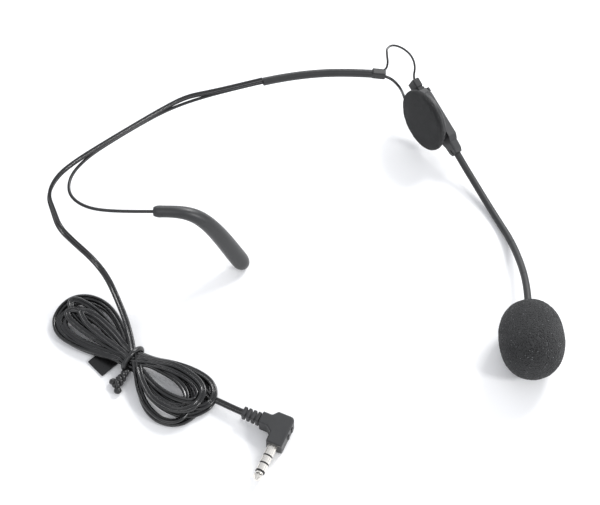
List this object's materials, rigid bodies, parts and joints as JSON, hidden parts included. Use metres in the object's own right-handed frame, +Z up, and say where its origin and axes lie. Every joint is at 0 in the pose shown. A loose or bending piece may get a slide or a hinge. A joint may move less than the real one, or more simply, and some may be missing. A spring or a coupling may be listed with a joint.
{
  "type": "headset microphone",
  "caption": "Light behind-the-neck headset microphone: wire neckband, round temple pad with a pivoting gooseneck boom, foam windscreen, tied flat cable and right-angle plug.",
  "frame": {"origin": "on the table under the middle of the headset, measured without the cable, hank and plug", "axes": "+X from the rear bend of the neckband towards the boom, +Y from the ear tip side towards the temple pad side, +Z up from the table"},
  "size_m": [0.188, 0.1697, 0.0401],
  "materials": {
    "coated_wire": "satin",
    "tip_rubber": "satin",
    "sleeve_rubber": "satin",
    "clip_plastic": "matte",
    "pad_foam": "matte",
    "shell_plastic": "satin",
    "steel": "satin",
    "grommet_rubber": "matte",
    "board": "satin",
    "gooseneck_jacket": "satin",
    "aluminium": "satin",
    "screen_foam": "matte",
    "cable_jacket": "gloss",
    "tie_plastic": "gloss",
    "label_film": "gloss",
    "plug_plastic": "satin",
    "contact_metal": "polished",
    "insulator": "gloss"
  },
  "bodies": {
    "frame": {"neckband_wire": "coated_wire", "arm_sleeve": "sleeve_rubber", "sleeve_clip": "clip_plastic", "pad_foam": "pad_foam", "pad_disc": "shell_plastic", "pivot_screw": "steel", "pivot_washer": "steel", "pivot_nut": "steel", "slack_lead": "cable_jacket", "cable_arm": "cable_jacket", "cable_drop": "cable_jacket", "cable_hank": "cable_jacket", "cable_tail": "cable_jacket", "tie_loop": "tie_plastic", "tie_knot": "tie_plastic", "cable_label": "label_film", "plug_boot": "plug_plastic", "plug_shell": "plug_plastic", "plug_sleeve": "contact_metal", "plug_ring_2": "contact_metal", "plug_ring_1": "contact_metal", "plug_insulators": "insulator", "plug_tip": "contact_metal"},
    "near_arm": {"near_arm_wire": "coated_wire", "ear_tip": "tip_rubber"},
    "boom_housing": {"housing_base": "shell_plastic", "housing_cover": "shell_plastic", "cable_grommet": "grommet_rubber", "junction_board": "board", "boom_clamp": "shell_plastic", "housing_screws": "steel", "gooseneck_1": "gooseneck_jacket"},
    "boom_link_2": {"gooseneck_2": "gooseneck_jacket"},
    "boom_link_3": {"gooseneck_3": "gooseneck_jacket"},
    "boom_link_4": {"gooseneck_4": "gooseneck_jacket"},
    "mic_head": {"gooseneck_5": "gooseneck_jacket", "mic_collar": "grommet_rubber", "mic_holder": "shell_plastic", "mic_gasket": "grommet_rubber", "mic_capsule": "aluminium", "mic_grille": "steel"},
    "screen": {"windscreen": "screen_foam"}
  },
  "joints": [
    {"name": "neckband_spread", "type": "hinge", "parent": "frame", "child": "near_arm", "pos_m": [-0.0897, 0.001, 0.036], "axis": [0, 0, -1], "range_deg": [0, 30], "stiffness_Nm_per_rad": 0.3},
    {"name": "boom_pivot", "type": "hinge", "parent": "frame", "child": "boom_housing", "pos_m": [0.0427, 0.0471, 0.0153], "axis": [-0.8351, -0.545, 0.075], "range_deg": [-15, 60], "deforming": ["slack_lead"]},
    {"name": "gooseneck_bend", "type": "hinge", "parent": "boom_housing", "child": "boom_link_2", "pos_m": [0.06181, 0.02976, 0.00559], "axis": [0, 0, 1], "range_deg": [-14, 14]},
    {"name": "gooseneck_bend_2", "type": "hinge", "parent": "boom_link_2", "child": "boom_link_3", "pos_m": [0.07016, 0.01407, 0.00194], "axis": [0, 0, 1], "range_deg": [-14, 14]},
    {"name": "gooseneck_bend_3", "type": "hinge", "parent": "boom_link_3", "child": "boom_link_4", "pos_m": [0.07711, -0.00257, 0.00259], "axis": [0, 0, 1], "range_deg": [-14, 14]},
    {"name": "gooseneck_bend_4", "type": "hinge", "parent": "boom_link_4", "child": "mic_head", "pos_m": [0.07965, -0.01999, 0.00696], "axis": [0, 0, 1], "range_deg": [-14, 14]},
    {"name": "windscreen_pull", "type": "slide", "parent": "mic_head", "child": "screen", "axis": [-0.04, -0.985, 0.168], "range_m": [0, 0.03]}
  ]
}
